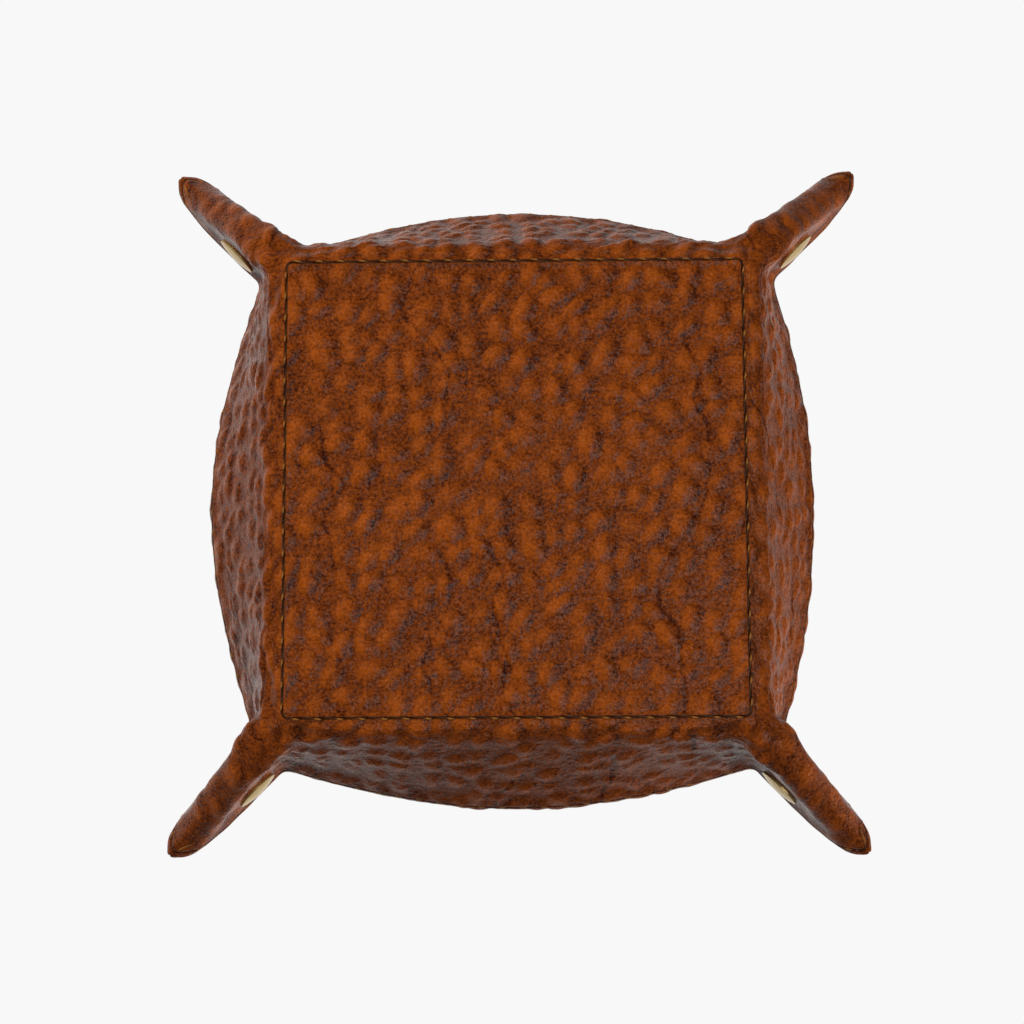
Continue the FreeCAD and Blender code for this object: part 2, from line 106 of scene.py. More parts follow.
# seams
SEAM_HALF = 55.0
SEAM_CORNER = 1.5
RIM_SEAM = 2.3
STITCH_PITCH = 5.2
THREAD = 0.5

# grain: soft pebbles run longer along v and lean a little, with finer crinkles and a few long creases
PEBBLE_WIDTH, PEBBLE_LENGTH, PEBBLE_HEIGHT = 6.3, 6.8, 3.9
CRINKLE_WIDTH, CRINKLE_LENGTH, CRINKLE_HEIGHT = 1.9, 2.3, 0.7
PEBBLE_SOFT, PEBBLE_UNEVEN, PEBBLE_LEAN, LEAN_SPREAD = 24.0, 0.12, 0.15, 0.8
PEBBLE_FLOOR, PEBBLE_TOP = -0.2, 0.08
PEBBLE_MARGIN, PEBBLE_SLIMMEST, SLIM_SPREAD = 0.17, 0.75, 0.6
# painted light and shade on the pebbles: the step across each pebble and the share of its one-sided light,
# and the share of the tops
SIDE_LIGHT_STEP, SIDE_LIGHT_SHARE, TOPS_SHARE = 0.9, 2.2, 0.3
EAR_CALM, EAR_CALM_START, EAR_CALM_LENGTH = 0.7, 54.0, 12.0
WARP, WARP_LENGTH = 2.2, 8.0
SWELL_LENGTH, SWELL_HEIGHT = 17.0, 0.15
LONG_CREASES, LONG_CREASE_STEP, LONG_CREASE_WANDER, LONG_CREASE_DEPTH = 9, 21.0, 14.0, 0.2
# the long creases are also painted darker in colour: painted shade
LONG_CREASE_WIDTH, LONG_CREASE_SHADE = 0.5, 0.3
# each crease follows a broad wave and a small one, and lasts where a third runs high: length, step, seed
CREASE_WAVES = ((23.0, 3.7, 31), (7.0, 5.1, 37), (31.0, 2.3, 41))
SMALL_WAVE, MEAN_WAVE, FADE_START, FADE_LENGTH = 0.4, 0.7, 0.42, 0.2
LINING_GRAIN, LINING_HEIGHT = 1.1, 0.2
WARP_SEEDS, PEBBLE_SEED, CRINKLE_SEED, SWELL_SEED, LINING_SEED = (3, 8), 1, 5, 12, 21
SCATTER_RATES, SCATTER_SPREAD = (127.1, 311.7, 74.7), 43758.5453
NEIGHBOURS = [(step_u, step_v) for step_v in (-1, 0, 1) for step_u in (-1, 0, 1)]
SEAM_VALLEY, SEAM_DEPTH, SEAM_WIDTH, RIM_SEAM_DEPTH, EDGE_ROUND = 0.3, 0.5, 0.3, 0.4, 0.6
SEAM_CALM, SEAM_CALM_WIDTH, RIM_CALM_WIDTH, VALLEY_WIDTH = 0.75, 1.2, 2.4, 1.5
LINING_SEAM_SHARE, LINING_SEAM_WIDTH, LINING_RIM_WIDTH = 0.6, 0.8, 0.7
SNAP_PRESS, SNAP_MARGIN = 0.05, 1.2

# mesh: cells of each sheet's visible face, in pairs each way, because its back has one cell for four
BASE_CELLS, ROWS, WALL_CELLS, LEAF_CELLS = 224, 72, 192, 52
LINING_SHARE = 2
BACK_STEP = 2
BACK_LAP, CUT_NEAR = 0.25, 0.3
CREASED, TINY = 0.5, 1e-12
SEAM_CROWD, SEAM_CROWD_WIDTH, CROWD_POINTS = 3.0, 1.2, 4001
NUDGE = 0.06
SHADE_NUDGE = 0.12
CREASE_START, CREASE_TAPER, RIDGE_NEAR = 4.8, 0.04, 1.0
# offsets out from the fold's axis and up, from which each wall panel works out two points beside its fold
FOLD_BLEND_START, FOLD_BLEND_END = (-2.5, -0.2), (1.5, 1.5)
BOARD_EDGE = box_mm("base_board")[1][0]
BOARD_SLOPE = 2.0
STITCH_RINGS, STITCH_SIDES = 9, 8
SEAM_BEND_POINTS, SEAM_SIDE_POINTS = 12, 80
STITCH_GAP, STITCH_SLANT, STITCH_SINK = 0.3, 0.7, 0.6
STITCH_RISE, RIM_STITCH_RISE, RISE_PLACE, RISE_WIDTH = 0.5, 0.2, 0.2, 0.12
PLY_DEPTH, PLY_TURNS = 0.14, 1.6

# stage: the view was worked out from the seam's corners, the rim and the ear tips in the photograph
SENSOR = 36.0
VIEW_ANGLE = 24.94
VIEW_FROM = (6.68, 86.15, -543.2)
VIEW_LINE = (-0.0136, -0.1452, 0.9893)
PICTURE_DOWN = (-0.0063, 0.9894, 0.1452)
NEAREST, FARTHEST = 0.01, 20.0
BACKDROP = (0.939, 0.939, 0.939, 1.0)
ROOM_LIGHT = 0.155
BRIGHT_WAY, DIM_RANGE, DIM_POWER = (-0.20, -0.10, 0.97), (-0.2, 1.0), 2.5
DIM_END = (0.02, 0.02, 0.02, 1.0)
FLOOR_SPAN, FLOOR_GLOW = 3.0, 0.4
FLOOR_TONES = ((0.80, 0.80, 0.80, 1.0), (0.84, 0.84, 0.84, 1.0))
LIGHT_AIM = Vector((0.0, 0.0, 0.015))
SOFTBOXES = (
    ("key_below", (-0.40, -0.30, -0.48), 0.36, 3.6, False),
    ("fill_below", (0.27, 0.19, -0.48), 0.46, 0.9, True),
    ("key_above", (-0.35, -0.60, 0.60), 0.45, 2.4, False),
    ("fill_above", (0.60, 0.25, 0.30), 0.45, 5.2, False),
)


def smooth(x):
    x = np.clip(x, 0, 1)
    return x * x * (3 - 2 * x)


def groove(distance, width):
    return np.exp(-(distance / width) ** 2)


def eased(ring, pairs):
    """Value at a ring between pairs of ring and value, level at each pair."""
    rings, values = np.array(pairs).T
    after = np.clip(np.searchsorted(rings, ring), 1, len(rings) - 1)
    share = smooth((ring - rings[after - 1]) / (rings[after] - rings[after - 1]))
    return values[after - 1] + (values[after] - values[after - 1]) * share


# rings of the cut square

def wall_profile(ring):
    """Reach and height of the wall's middle at a flat distance outside the base field."""
    bent = np.clip(ring, 0, bend_length) / FOLD_BEND
    straight = np.clip(ring - bend_length, 0, None)
    reach = FIELD + np.minimum(ring, 0) + FOLD_BEND * np.sin(bent) + straight * math.sin(WALL_LEAN)
    height = FOLD_BEND * (1 - np.cos(bent)) + straight * math.cos(WALL_LEAN)
    return reach, height


def closing(start, end):
    """Advance toward the diagonal of a unit bend from one heading to another."""
    return abs((math.sin(end) - math.cos(end)) - (math.sin(start) - math.cos(start)))


def ring_bends(ring):
    """Bow, crease turn, wall run, leaf run, ridge and crease bends of a ring that ends on the diagonal."""
    reach = float(wall_profile(ring)[0])
    length = FIELD + ring
    bow = max(RIM_BOW * float(smooth((ring - BOW_START) / (RIM - BOW_START))), LEAST_BOW)
    ridge, crease = float(eased(ring, RIDGE_BENDS)), float(eased(ring, CREASE_BENDS))
    wall_rate = closing(0, bow) / bow

    def spare(turn):
        used = crease * (bow + turn) + ridge * (EAR_ANGLE + turn)
        turned = crease * closing(bow, -turn) + ridge * closing(-turn, EAR_ANGLE)
        return used, reach - turned

    used, left = spare(EAR_ANGLE)
    if (length - used) * wall_rate > left:
        run = left / wall_rate
        return bow, EAR_ANGLE, run, length - used - run, ridge, crease
    low, high = 0.0, EAR_ANGLE
    for _ in range(TURN_HALVINGS):
        turn = (low + high) / 2
        used, left = spare(turn)
        low, high = (turn, high) if (length - used) * wall_rate > left else (low, turn)
    return bow, low, length - used, 0.0, ridge, crease


ring_steps = np.linspace(0, RIM, RING_STEPS)
ring_columns = np.array([ring_bends(ring) for ring in ring_steps]).T


def pinched(out, side):
    """Plan of an ear whose end draws together toward its tip."""
    middle, off = (out + side) / 2, (out - side) / 2
    near_tip = smooth((middle * math.sqrt(2) - PINCH_START) / PINCH_LENGTH)
    off = off * (1 - TIP_PINCH * near_tip)
    return middle + off, middle - off


def pointed(out, side):
    """Plan of an ear whose tip runs out to a blunt point."""
    middle, off = (out + side) / 2, (out - side) / 2
    near_tip = smooth((middle * math.sqrt(2) - PINCH_START) / PINCH_LENGTH)
    reach = TIP_POINT * near_tip * groove(off, POINT_WIDTH)
    return out + reach, side + reach


def ring_plan(ring, along):
    """Plan of the hide's outer face in a half wall: outward and along, for a ring and a run along it."""
    bow, turn, run, leaf, ridge, bend = (np.interp(ring, ring_steps, column) for column in ring_columns)
    run = np.where(ring < 0, FIELD + ring, run)
    reach = wall_profile(ring)[0]
    part = np.clip(along, 0, run)
    arc = run / bow
    heading = part / arc
    out = reach - arc * (1 - np.cos(heading))
    side = arc * np.sin(heading)
    crease = bend * (bow + turn)
    part = np.clip(along - run, 0, crease)
    heading = bow - part / bend
    out -= bend * (np.cos(heading) - np.cos(bow))
    side += bend * (np.sin(bow) - np.sin(heading))
    part = np.clip(along - run - crease, 0, leaf)
    out += part * np.sin(turn)
    side += part * np.cos(turn)
    part = np.clip(along - run - crease - leaf, 0, None)
    heading = part / ridge - turn
    out -= ridge * (np.cos(turn) - np.cos(heading)) * (ring > 0)
    side += ridge * (np.sin(heading) + np.sin(turn))
    return *pinched(out, side), run


def ridge_heights():
    """Height of the ear's ridge at each ring, so that the hide keeps its length along the diagonal."""
    out, side, _ = ring_plan(ring_steps, FIELD + ring_steps)
    step = np.diff(ring_steps)
    climb = np.sqrt(np.clip(2 * step ** 2 - np.diff(out) ** 2 - np.diff(side) ** 2, 0, None))
    return np.concatenate([[0], np.cumsum(climb)])


ridge_steps = ridge_heights()


def half_wall(ring, along):
    """Hide's bare outer face in half a wall: outward, along and up, for a ring and a run along it."""
    out, side, run = ring_plan(ring, along)
    out, side = pointed(out, side)
    middle = wall_profile(ring)[1]
    ridge = np.where(ring > 0, np.interp(ring, ring_steps, ridge_steps), 0)
    lift = EAR_LIFT_NEAR + (EAR_LIFT_FAR - EAR_LIFT_NEAR) * smooth(ring / RIM)
    height = middle + (ridge - middle) * smooth((along - run + lift) / lift)
    flat = np.stack([FIELD + ring, along, np.zeros_like(height)], axis=-1)
    settled = smooth(ring / SETTLE)[..., None]
    return flat + (np.stack([out, side, height], axis=-1) - flat) * settled


def crease_run(ring):
    """Run along a ring at which the wall ends and the ear's leaf begins."""
    bow, turn, run, _, _, bend = (np.interp(ring, ring_steps, column) for column in ring_columns)
    crease = run + bend * (bow + turn) / 2
    full = FIELD + ring
    share = np.clip(ring / CREASE_START, CREASE_TAPER, 1)
    return full - (full - crease) * share


def ear_limit(ring):
    """Run along a ring at which the ear's leaf ends, on its ridge or round its tip."""
    past = np.clip(ring - RIM + TIP_RADIUS, 0, TIP_RADIUS)
    return np.minimum(FIELD + ring, CUT_HALF - TIP_RADIUS + np.sqrt(TIP_RADIUS ** 2 - past ** 2))


# press studs: where they sit on the cut square, so that the hide lies flat under them

snap_low, snap_high = box_mm("northeast_snap_cap")
SNAP_RADIUS = (snap_high[2] - snap_low[2]) / 2
snap_height = (snap_high[2] + snap_low[2]) / 2
snap_ring = float(np.interp(snap_height, ridge_steps, ring_steps))


def snap_run():
    """Run along the snap's ring at which the ear's leaf passes the middle of the press stud."""
    socket_low, socket_high = box_mm("northeast_snap_socket")
    middle = (socket_low + socket_high)[:2].sum() / 2
    runs = np.linspace(float(crease_run(snap_ring)), FIELD + snap_ring, RUN_STEPS)
    out, side, _ = ring_plan(np.full(runs.shape, snap_ring), runs)
    return float(np.interp(middle, out + side, runs))


snap_place = (FIELD + snap_ring, snap_run())


def snap_distance(u, v):
    """Distance on the cut square to the nearest press stud."""
    long, short = np.maximum(np.abs(u), np.abs(v)), np.minimum(np.abs(u), np.abs(v))
    return np.hypot(long - snap_place[0], short - snap_place[1])


# grain of the hide

def scatter(column, row, seed):
    """Seeded number from 0 to 1 for each cell of a grid."""
    along, up, apart = SCATTER_RATES
    wave = np.sin(column * along + row * up + seed * apart) * SCATTER_SPREAD
    return wave - np.floor(wave)


def drift(u, v, seed):
    """Smooth seeded noise from 0 to 1."""
    column, row = np.floor(u), np.floor(v)
    across, up = smooth(u - column), smooth(v - row)
    low = scatter(column, row, seed) * (1 - across) + scatter(column + 1, row, seed) * across
    high = scatter(column, row + 1, seed) * (1 - across) + scatter(column + 1, row + 1, seed) * across
    return low * (1 - up) + high * up


def pebbles(u, v, seed):
    """Soft lumps of uneven height, size and lean: below zero, and highest on the lumps' tops."""
    column, row = np.floor(u), np.floor(v)
    room = 1 - 2 * PEBBLE_MARGIN
    total = np.full(u.shape, math.exp(PEBBLE_SOFT * PEBBLE_FLOOR))
    for step_u, step_v in NEIGHBOURS:
        cell_u, cell_v = column + step_u, row + step_v
        chances = (scatter(cell_u, cell_v, seed + turn) for turn in range(5))
        place_u, place_v, leaning, slimness, rise = chances
        away_u = cell_u + PEBBLE_MARGIN + room * place_u - u
        away_v = cell_v + PEBBLE_MARGIN + room * place_v - v
        lean = PEBBLE_LEAN + LEAN_SPREAD * (leaning - 0.5)
        slim = PEBBLE_SLIMMEST + SLIM_SPREAD * slimness
        away = (away_u + lean * away_v) ** 2 * slim + away_v ** 2 / slim
        total += np.exp(PEBBLE_SOFT * (PEBBLE_UNEVEN * (rise - 0.5) - away))
    return np.minimum(np.log(total) / PEBBLE_SOFT - PEBBLE_TOP, 0)


def inset(u, v, half, radius):
    """Distance inside a rounded square."""
    over_u = np.abs(u) - half + radius
    over_v = np.abs(v) - half + radius
    outside = np.hypot(np.maximum(over_u, 0), np.maximum(over_v, 0))
    return radius - outside - np.minimum(np.maximum(over_u, over_v), 0)


def long_creases(u, v):
    """Share of a long thin crease at a flat place. Creases wander along v and fade out."""
    depth = np.zeros(u.shape)
    for line in range(LONG_CREASES):
        middle = LONG_CREASE_STEP * (line - (LONG_CREASES - 1) / 2)
        broad, small, life = (drift(v / length, np.full(u.shape, line * step), seed)
                              for length, step, seed in CREASE_WAVES)
        wander = broad + SMALL_WAVE * small - MEAN_WAVE
        lasting = smooth((life - FADE_START) / FADE_LENGTH)
        depth += lasting * groove(u - middle - LONG_CREASE_WANDER * wander, LONG_CREASE_WIDTH)
    return np.minimum(depth, 1)


def hide_grain(u, v):
    bend_u, bend_v = (flat + WARP * (drift(u / WARP_LENGTH, v / WARP_LENGTH, seed) - 0.5)
                      for flat, seed in zip((u, v), WARP_SEEDS))
    large = pebbles(bend_u / PEBBLE_WIDTH, bend_v / PEBBLE_LENGTH, PEBBLE_SEED)
    small = pebbles(bend_u / CRINKLE_WIDTH, bend_v / CRINKLE_LENGTH, CRINKLE_SEED)
    return large, small


def seam_distances(u, v):
    """Distances to the base seam, the rim seam and the cut edge."""
    seam = np.abs(inset(u, v, SEAM_HALF, SEAM_CORNER))
    rim = inset(u, v, CUT_HALF, TIP_RADIUS)
    return seam, np.abs(rim - RIM_SEAM), rim


# painted shade: a dark line along the seams' grooves, where the stitches lie sunk
def seam_painted_shade(u, v):
    seam, rim_seam, _ = seam_distances(u, v)
    return np.maximum(groove(seam, SEAM_WIDTH), groove(rim_seam, SEAM_WIDTH))


def hide_height(u, v):
    """Height of the hide's outer face, at most zero."""
    large, small = hide_grain(u, v)
    seam, rim_seam, rim = seam_distances(u, v)
    calm = 1 - SEAM_CALM * np.maximum(groove(seam, SEAM_CALM_WIDTH), groove(rim_seam, RIM_CALM_WIDTH))
    in_ear = smooth((np.minimum(np.abs(u), np.abs(v)) - EAR_CALM_START) / EAR_CALM_LENGTH)
    calm = calm * (1 - EAR_CALM * in_ear)
    swell = drift(u / SWELL_LENGTH, v / SWELL_LENGTH, SWELL_SEED)
    grain = PEBBLE_HEIGHT * large + CRINKLE_HEIGHT * small - LONG_CREASE_DEPTH * long_creases(u, v)
    height = calm * grain + SWELL_HEIGHT * (swell - 1)
    height -= SEAM_VALLEY * groove(seam, VALLEY_WIDTH) + SEAM_DEPTH * groove(seam, SEAM_WIDTH)
    height -= RIM_SEAM_DEPTH * groove(rim_seam, SEAM_WIDTH)
    height -= EDGE_ROUND * np.clip(1 - rim / EDGE_ROUND, 0, 1) ** 2
    pressed = 1 - smooth((snap_distance(u, v) - SNAP_RADIUS) / SNAP_MARGIN)
    return height * (1 - pressed) - SNAP_PRESS * pressed


def hide_tones(u, v):
    """Colour warmth of the hide, which is painted light and shade: lighter on the pebbles' tops and on
    their sides facing -u, darker in the valleys, along the long creases and on the sides facing +u; and the
    seams' dark line, painted shade in their grooves.
    """
    tops = 1 + hide_grain(u, v)[0] / (PEBBLE_TOP - PEBBLE_FLOOR)
    side_light = hide_grain(u + SIDE_LIGHT_STEP, v)[0] - hide_grain(u - SIDE_LIGHT_STEP, v)[0]
    warmth = TOPS_SHARE * tops + (1 - TOPS_SHARE) * (0.5 + SIDE_LIGHT_SHARE * side_light)
    return np.clip(warmth - LONG_CREASE_SHADE * long_creases(u, v), 0, 1), seam_painted_shade(u, v)


def lining_grain(u, v):
    return pebbles(u / LINING_GRAIN, v / LINING_GRAIN, LINING_SEED)


def lining_relief(u, v):
    """Height of the lining's inner face, at most zero."""
    seam, rim_seam, _ = seam_distances(u, v)
    seams = SEAM_DEPTH * groove(seam, LINING_SEAM_WIDTH)
    seams += RIM_SEAM_DEPTH * groove(rim_seam, LINING_RIM_WIDTH)
    return LINING_HEIGHT * lining_grain(u, v) - LINING_SEAM_SHARE * seams


def lining_tones(u, v):
    return np.clip(1 + lining_grain(u, v) / (PEBBLE_TOP - PEBBLE_FLOOR), 0, 1), seam_painted_shade(u, v)


# sheets bent into place

def quarter_turns(points, order):
    """Turn points about the tray's middle by a number of quarter turns."""
    x, y = points[..., 0], points[..., 1]
    turned = ((x, y), (-y, x), (-x, -y), (y, -x))[order]
    return np.stack([*turned, *np.moveaxis(points[..., 2:], -1, 0)], axis=-1)


def flat_place(order, ring, along):
    place = quarter_turns(np.stack([FIELD + ring, along], axis=-1), order)
    return place[..., 0], place[..., 1]


def bare_face(ring, along):
    """Hide's outer face before its grain, with its outward normal, for a run along it of either sign."""
    side = np.where(along < 0, -1.0, 1.0)
    run = np.abs(along)
    ahead = half_wall(ring, run + NUDGE) - half_wall(ring, run - NUDGE)
    upward = half_wall(ring + NUDGE, run) - half_wall(ring - NUDGE, run)
    normal = np.cross(ahead, upward)
    normal /= np.linalg.norm(normal, axis=-1, keepdims=True)
    on_ridge = np.clip(1 - (FIELD + ring - run) / RIDGE_NEAR, 0, 1)
    across = (normal[..., 0] - normal[..., 1]) / 2 * on_ridge
    normal -= np.stack([across, -across, np.zeros_like(across)], axis=-1)
    normal /= np.linalg.norm(normal, axis=-1, keepdims=True)
    mirror = np.stack([np.ones_like(side), side, np.ones_like(side)], axis=-1)
    return half_wall(ring, run) * mirror, normal * mirror


def layer(order, ring, along, height):
    """A layer of one wall and its ear leaves, at a height outside the hide's bare face."""
    place, normal = bare_face(ring, along)
    bulge = np.zeros(place.shape)
    bulge[..., 0] = WALL_BULGE[order] * smooth(ring / RIM) * smooth(1 - np.abs(along) / BULGE_HALF)
    return quarter_turns(place + bulge + normal * height(*flat_place(order, ring, along))[..., None], order)


def base_layer(u, v, height):
    """A layer of the base, at a height outside the hide's bare face."""
    return np.stack([u, v, -height(u, v)], axis=-1)


def shaded(face, out, along):
    """Points of a face with their outward shading normals."""
    ahead = face(out, along + SHADE_NUDGE) - face(out, along - SHADE_NUDGE)
    upward = face(out + SHADE_NUDGE, along) - face(out - SHADE_NUDGE, along)
    normal = np.cross(ahead, upward)
    return face(out, along), normal / np.linalg.norm(normal, axis=-1, keepdims=True)


def grid_faces(rows, columns, first):
    """Quads of a grid of points, counted on from the first point."""
    corner = first + np.arange(rows * columns).reshape(rows, columns)
    quads = np.stack([corner[:-1, :-1], corner[:-1, 1:], corner[1:, 1:], corner[1:, :-1]], axis=-1)
    return corner, quads.reshape(-1, 4).tolist()


def border_faces(front, back):
    """Faces between the borders of a fine grid and a coarse one behind it."""
    faces = []
    sides = (
        (front[0, ::-1], back[0, ::-1]), (front[-1], back[-1]),
        (front[:, 0], back[:, 0]), (front[::-1, -1], back[::-1, -1]),
    )
    for fine, coarse in sides:
        for step in range(len(coarse) - 1):
            run = fine[step * BACK_STEP:(step + 1) * BACK_STEP + 1].tolist()
            faces.append(run + [int(coarse[step + 1]), int(coarse[step])])
    return faces


def crowded(low, high, cells, seam):
    """Grid lines from low to high, closer together beside the seam."""
    fine = np.linspace(low, high, CROWD_POINTS)
    crowd = 1 + SEAM_CROWD * groove(np.abs(fine) - seam, SEAM_CROWD_WIDTH)
    count = np.concatenate([[0], np.cumsum((crowd[1:] + crowd[:-1]) / 2)])
    return np.interp(np.linspace(0, count[-1], cells + 1), count, fine)


def creased_shading(points, normals, quads):
    """Shading normal at each corner of the quads: smooth, but a quad's own where the sheet is creased."""
    corners = points[quads]
    own = np.cross(corners[:, 2] - corners[:, 0], corners[:, 3] - corners[:, 1])
    own /= np.maximum(np.linalg.norm(own, axis=-1, keepdims=True), TINY)
    own = np.repeat(own[:, None], 4, axis=1)
    shading = normals[quads]
    creased = (own * shading).sum(axis=-1, keepdims=True) < CREASED
    return np.where(creased, own, shading).reshape(-1, 3)


def sheet_solid(name, front, normals, back, place, tones, finishes, inward=False):
    """Closed sheet from its visible face, its plainer back and the cut edges between them."""
    rows, columns = front.shape[:2]
    front_index, front_faces = grid_faces(rows, columns, 0)
    back_index, back_faces = grid_faces(*back.shape[:2], rows * columns)
    edge_faces = border_faces(front_index, back_index)
    middles = [face[BACK_STEP // 2] for face in edge_faces]
    back_faces = [face[::-1] for face in back_faces]
    faces = front_faces + back_faces + edge_faces
    if inward:
        faces = [face[::-1] for face in faces]
        normals = -normals
    points = np.concatenate([front.reshape(-1, 3), back.reshape(-1, 3)]) * MM
    mesh = bpy.data.meshes.new(name)
    mesh.from_pydata(points.tolist(), [], faces)
    for finish in finishes:
        mesh.materials.append(finish)
    shown = len(front_faces) + len(back_faces)
    mesh.polygons.foreach_set("use_smooth", [index < shown for index in range(len(faces))])
    u, v = place.reshape(-1, 2)[middles].T
    on_cut = inset(u, v, CUT_HALF, TIP_RADIUS) < CUT_NEAR
    mesh.polygons.foreach_set("material_index", [0] * shown + on_cut.astype(int).tolist())
    flat = np.zeros((len(points), 3), np.float32)
    flat[:rows * columns, :2] = place.reshape(-1, 2) * MM
    flat[rows * columns:, :2] = place[::BACK_STEP, ::BACK_STEP].reshape(-1, 2) * MM
    mesh.attributes.new("cut_place", "FLOAT_VECTOR", "POINT").data.foreach_set("vector", flat.ravel())
    # colour masks: painted light and shade from the pebbles and long creases, and painted shade in the
    # seams' grooves
    for label, shown_values in zip(("grain", "seam_shade"), tones):
        values = np.zeros(len(points), np.float32)
        values[:rows * columns] = shown_values.ravel()
        mesh.attributes.new(label, "FLOAT", "POINT").data.foreach_set("value", values)
    loops = np.zeros((len(mesh.loops), 3), np.float32)
    shading = creased_shading(points, normals.reshape(-1, 3), np.array(faces[:len(front_faces)]))
    loops[:len(shading)] = shading
    mesh.normals_split_custom_set(loops)
    piece = bpy.data.objects.new(name, mesh)
    bpy.context.scene.collection.objects.link(piece)
    return piece


# pieces of hide and lining

def over_board(u, v):
    """One where the board lies between hide and lining, sloping to zero beside its edge."""
    return smooth((BOARD_EDGE + BOARD_SLOPE - np.maximum(np.abs(u), np.abs(v))) / BOARD_SLOPE)


def hide_back(u, v):
    """Glued back of the hide, pressed a little into the lining's where no board lies between."""
    return -HIDE - BACK_LAP * (1 - over_board(u, v))


def lining_depth(u, v):
    """Depth of the lining's inner face below the hide's outer face: deeper where the board lies between."""
    return LAYERS + (LINING_BASE - LAYERS) * over_board(u, v)


def lining_height(u, v):
    return -lining_depth(u, v) - lining_relief(u, v)


def lining_back(u, v):
    return LINING - lining_depth(u, v) + BACK_LAP * (1 - over_board(u, v))


LAYER_KINDS = {
    "hide": (hide_height, hide_back, hide_tones, False),
    "lining": (lining_height, lining_back, lining_tones, True),
}


def base_panel(kind, cells, finishes):
    height, behind, tones, inward = LAYER_KINDS[kind]
    span = crowded(-FIELD, FIELD, cells, SEAM_HALF)
    u, v = np.meshgrid(span, span, indexing="ij")
    front, normals = shaded(lambda a, b: base_layer(a, b, height), u, v)
    back = base_layer(u, v, behind)[::BACK_STEP, ::BACK_STEP]
    place = np.stack([u, v], axis=-1)
    piece = sheet_solid(f"{kind}_base", front, normals, back, place, tones(u, v), finishes, inward)
    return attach(piece, "base")


def bent_panel(name, kind, order, ring, along, finishes):
    height, behind, tones, inward = LAYER_KINDS[kind]
    front, normals = shaded(lambda a, b: layer(order, a, b, height), ring, along)
    back = layer(order, ring, along, behind)[::BACK_STEP, ::BACK_STEP]
    u, v = flat_place(order, ring, along)
    place = np.stack([u, v], axis=-1)
    return sheet_solid(name, front, normals, back, place, tones(u, v), finishes, inward)


def rim_crowded(rows):
    """Rings of a wall's rows, with one at the crease's foot and one where the tip crosses the ridge."""
    rings = crowded(0, RIM, rows, RIM - RIM_SEAM)
    for ring in (CREASE_START, RIM - TIP_RADIUS * (1 - math.sqrt(0.5))):
        rings[np.argmin(np.abs(rings - ring))] = ring
    return rings


def wall_panel(kind, order, rows, cells, finishes):
    wall = WALLS[order]
    ring, share = np.meshgrid(rim_crowded(rows), np.linspace(-1, 1, cells + 1), indexing="ij")
    piece = bent_panel(f"{kind}_wall_{wall}", kind, order, ring, share * crease_run(ring), finishes)
    start, end = (quarter_turns(np.array([fold[0] + out, 0, fold[2] + up]), order)
                  for out, up in (FOLD_BLEND_START, FOLD_BLEND_END))
    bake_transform(piece)
    return piece


def ear_names(order, side):
    """Wall and corner of the ear leaf at one end of a wall."""
    corner = CORNERS[order if side > 0 else order - 1]
    return WALLS[order], corner, f"{corner}_ear_{WALLS[order]}"


def ear_panel(kind, order, side, rows, cells, finishes):
    wall, corner, body = ear_names(order, side)
    ring, share = np.meshgrid(rim_crowded(rows), np.linspace(0, 1, cells + 1), indexing="ij")
    crease = crease_run(ring)
    along = crease + (ear_limit(ring) - crease) * share
    if side < 0:
        along = -along[:, ::-1]
    piece = bent_panel(f"{kind}_ear_{corner}_{wall}", kind, order, ring, along, finishes)
    joint = joints[body + "_crease"]
    axis, foot = np.array(joint["axis"]), np.array(joint["pos_m"])
    outward = np.sign([foot[0], foot[1], 0]) * math.sqrt(0.5)
    outward -= axis * outward.dot(axis)
    outward /= np.linalg.norm(outward)
    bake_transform(piece)
    return piece


# stitches

def seam_path(half, radius):
    """Flat places along a rounded square, with the length run at each."""
    straight = half - radius
    turn = np.linspace(0, math.pi / 2, SEAM_BEND_POINTS)
    bend = np.stack([straight + radius * np.cos(turn), straight + radius * np.sin(turn)], axis=-1)
    run = np.linspace(-straight, straight, SEAM_SIDE_POINTS)
    side = np.stack([np.full(run.shape, half), run], axis=-1)[:-1]
    quarter = np.concatenate([side, bend[:-1]])
    path = np.concatenate([quarter_turns(quarter, order) for order in range(len(WALLS))])
    path = np.concatenate([path, path[:1]])
    length = np.concatenate([[0], np.cumsum(np.hypot(*np.diff(path, axis=0).T))])
    return path, length


def seam_stitches(half, radius):
    """Flat centre lines of a seam's stitches, each a little slanted across the seam."""
    path, length = seam_path(half, radius)
    count = round(length[-1] / STITCH_PITCH)
    pitch = length[-1] / count
    share = np.linspace(0, 1, STITCH_RINGS)
    start = (np.arange(count) + 0.5)[:, None] * pitch
    run = start + (share - 0.5) * (pitch - STITCH_GAP)
    run = np.mod(run, length[-1])
    u, v = np.interp(run, length, path[:, 0]), np.interp(run, length, path[:, 1])
    across = np.stack([np.gradient(v, axis=1), -np.gradient(u, axis=1)])
    across /= np.maximum(np.hypot(*across), TINY)
    slant = STITCH_SLANT * (0.5 - share)
    return u + across[0] * slant, v + across[1] * slant


def wall_frame(u, v):
    """Wall, ring and run along it of a flat place."""
    order = np.argmax(np.stack([u, v, -u, -v]), axis=0)
    out = np.choose(order, [u, v, -u, -v])
    along = np.choose(order, [v, -u, -v, u])
    return order, out - FIELD, along


def stitch_lift(outward, rise):
    """Height of a stitch's centre over its groove: it rises near one hole, then lies sunk to the next."""
    share = np.linspace(0, 1, STITCH_RINGS)
    arch = np.sin(math.pi * share) ** 0.5
    return outward * (THREAD * STITCH_SINK * (arch - 1) + rise * groove(share - RISE_PLACE, RISE_WIDTH))


